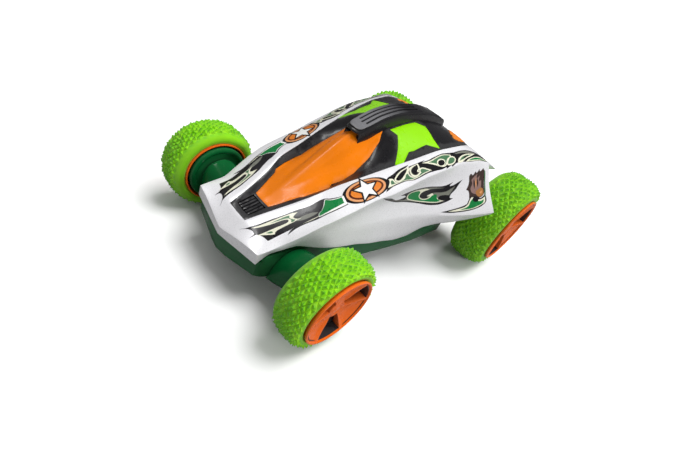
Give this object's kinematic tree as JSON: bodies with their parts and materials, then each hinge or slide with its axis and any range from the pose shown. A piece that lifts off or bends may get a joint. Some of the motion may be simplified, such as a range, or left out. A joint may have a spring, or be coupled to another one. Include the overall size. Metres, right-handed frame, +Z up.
{
  "type": "radio-controlled stunt car",
  "caption": "Radio-controlled stunt car with balloon tyres, a geared motor for each rear wheel, a flame-trimmed wedge body and a battery door underneath.",
  "frame": {"origin": "on the ground, midway between the car's front-most and rear-most tyre faces and midway between its sides", "axes": "nose points to -Y, +X to the car's left, +Z up"},
  "size_m": [0.2032, 0.3014, 0.1225],
  "materials": {
    "tyre_lime": "soft lime-green foam rubber with a fine moulded grain",
    "rim_orange": "moulded gloss orange",
    "black_plastic": "satin black moulding",
    "chassis_green": "deep green gloss moulding",
    "body_silver": "pearl silver-white lacquer with printed flame decals",
    "hood_orange": "gloss orange lacquer",
    "lamp_orange": "translucent orange lens",
    "window_lime": "gloss lime",
    "scoop_grey": "satin grey moulding",
    "battery_wrap": "shrink-wrapped cells",
    "circuit_board": "solder mask",
    "steel": "bright zinc-plated steel",
    "motor_can": "drawn steel can",
    "brass": "sintered brass",
    "gear_nylon": "natural nylon"
  },
  "bodies": {
    "chassis": {"chassis_tray": "chassis_green", "motor_cover": "black_plastic", "battery_pack": "battery_wrap", "circuit_board": "circuit_board", "switch_body": "black_plastic", "front_arm_left": "chassis_green", "front_arm_right": "chassis_green", "front_hub_cover_left": "chassis_green", "front_hub_cover_right": "chassis_green", "front_axle_left": "steel", "front_axle_right": "steel", "wheel_screws": "steel", "gearbox_case_left": "chassis_green", "gearbox_case_right": "chassis_green", "gearbox_cover_left": "chassis_green", "gearbox_cover_right": "chassis_green", "motor_left": "motor_can", "motor_right": "motor_can", "rear_bushes": "brass", "body_shell": "body_silver", "canopy_frame": "black_plastic", "hood_panel": "hood_orange", "window_left": "window_lime", "window_right": "window_lime", "roof_scoop": "black_plastic", "scoop_plate": "scoop_grey", "nose_vent": "black_plastic", "tail_lamps": "lamp_orange", "body_screws": "steel", "gearbox_screws": "steel"},
    "front_wheel_left": {"front_rim_left": "rim_orange", "front_dish_left": "black_plastic", "front_tyre_left": "tyre_lime", "front_cap_left": "rim_orange", "front_bushes_left": "brass"},
    "rear_wheel_left": {"rear_rim_left": "rim_orange", "rear_dish_left": "black_plastic", "rear_tyre_left": "tyre_lime", "rear_cap_left": "rim_orange", "rear_axle_left": "steel", "drive_gear_left": "gear_nylon"},
    "motor_rotor_left": {"pinion_left": "brass", "motor_shaft_left": "steel"},
    "front_wheel_right": {"front_rim_right": "rim_orange", "front_dish_right": "black_plastic", "front_tyre_right": "tyre_lime", "front_cap_right": "rim_orange", "front_bushes_right": "brass"},
    "rear_wheel_right": {"rear_rim_right": "rim_orange", "rear_dish_right": "black_plastic", "rear_tyre_right": "tyre_lime", "rear_cap_right": "rim_orange", "rear_axle_right": "steel", "drive_gear_right": "gear_nylon"},
    "motor_rotor_right": {"pinion_right": "brass", "motor_shaft_right": "steel"},
    "switch": {"switch_slider": "rim_orange"},
    "door": {"battery_door": "chassis_green"}
  },
  "joints": [
    {"name": "front_wheel_left_spin", "type": "hinge", "parent": "chassis", "child": "front_wheel_left", "pos_m": [0.0721, -0.1167, 0.034], "axis": [1, 0, 0], "continuous": true},
    {"name": "rear_wheel_left_spin", "type": "hinge", "parent": "chassis", "child": "rear_wheel_left", "pos_m": [0.0805, 0.1015, 0.0492], "axis": [1, 0, 0], "continuous": true},
    {"name": "motor_left_spin", "type": "hinge", "parent": "chassis", "child": "motor_rotor_left", "pos_m": [0.045, 0.0833, 0.0492], "axis": [1, 0, 0], "continuous": true},
    {"name": "front_wheel_right_spin", "type": "hinge", "parent": "chassis", "child": "front_wheel_right", "pos_m": [-0.0721, -0.1167, 0.034], "axis": [1, 0, 0], "continuous": true},
    {"name": "rear_wheel_right_spin", "type": "hinge", "parent": "chassis", "child": "rear_wheel_right", "pos_m": [-0.0805, 0.1015, 0.0492], "axis": [1, 0, 0], "continuous": true},
    {"name": "motor_right_spin", "type": "hinge", "parent": "chassis", "child": "motor_rotor_right", "pos_m": [-0.045, 0.0833, 0.0492], "axis": [1, 0, 0], "continuous": true},
    {"name": "power_switch", "type": "slide", "parent": "chassis", "child": "switch", "axis": [0, 1, 0], "range_m": [0, 0.004]},
    {"name": "battery_door_slide", "type": "slide", "parent": "chassis", "child": "door", "axis": [0, 1, 0], "range_m": [0, 0.034]}
  ],
  "couplings": [
    {"joint": "motor_left_spin", "follows": "rear_wheel_left_spin", "ratio": -3.3333},
    {"joint": "motor_right_spin", "follows": "rear_wheel_right_spin", "ratio": -3.3333}
  ]
}
